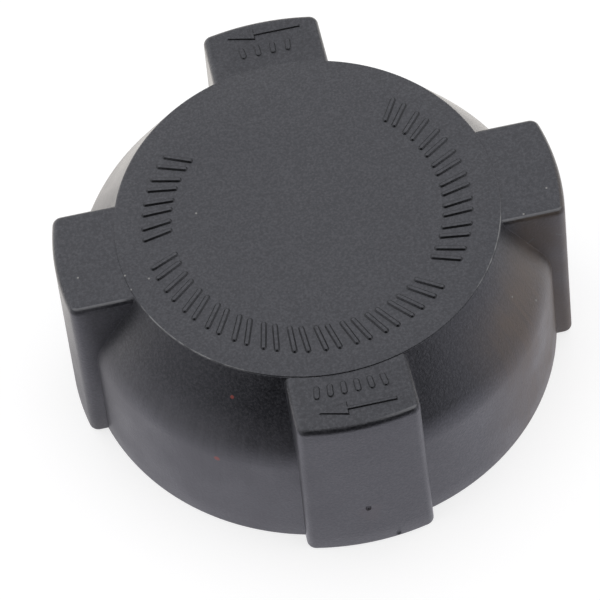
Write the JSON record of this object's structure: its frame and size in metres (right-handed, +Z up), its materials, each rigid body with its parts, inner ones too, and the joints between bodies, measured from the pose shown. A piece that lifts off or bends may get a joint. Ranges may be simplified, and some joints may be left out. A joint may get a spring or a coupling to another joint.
{
  "type": "radiator cap",
  "caption": "Screw-on pressure cap: round moulded grip with square lugs, threaded collar, and a sealed valve insert with sprung pressure and vacuum valves.",
  "frame": {"origin": "centre of the rim's plane, on the cap's axis; the cap stands on its rim", "axes": "+Z up along the cap's axis, out of the top disc; the lugs point along +X, -X, +Y and -Y"},
  "size_m": [0.0762, 0.0762, 0.03],
  "materials": {
    "grip_plastic": "satin, fine grain",
    "insert_plastic": "smooth satin",
    "valve_plastic": "smooth satin",
    "seal_rubber": "matte",
    "spring_steel": "drawn wire and stamped sheet",
    "brass": "turned"
  },
  "bodies": {
    "shell": {"cap_shell": "grip_plastic"},
    "insert": {"slip_washer": "valve_plastic", "valve_housing": "insert_plastic", "neck_gasket": "seal_rubber", "neck_o_ring": "seal_rubber", "valve_seat_ring": "insert_plastic", "spring_washer": "spring_steel", "main_spring": "spring_steel"},
    "pressure_valve": {"pressure_piston": "valve_plastic", "pressure_seal": "seal_rubber", "vacuum_spring": "spring_steel"},
    "vacuum_valve": {"vacuum_poppet": "brass", "vacuum_clip": "spring_steel"}
  },
  "joints": [
    {"name": "insert_swivel", "type": "hinge", "parent": "shell", "child": "insert", "pos_m": [0, 0, 0.0255], "axis": [0, 0, 1], "continuous": true},
    {"name": "pressure_lift", "type": "slide", "parent": "insert", "child": "pressure_valve", "axis": [0, 0, 1], "range_m": [0, 0.0025], "stiffness_N_per_m": 3000, "springref_m": -0.006, "deforming": ["main_spring"]},
    {"name": "vacuum_drop", "type": "slide", "parent": "pressure_valve", "child": "vacuum_valve", "axis": [0, 0, -1], "range_m": [0, 0.0015], "stiffness_N_per_m": 150, "springref_m": -0.003, "deforming": ["vacuum_spring"]}
  ]
}
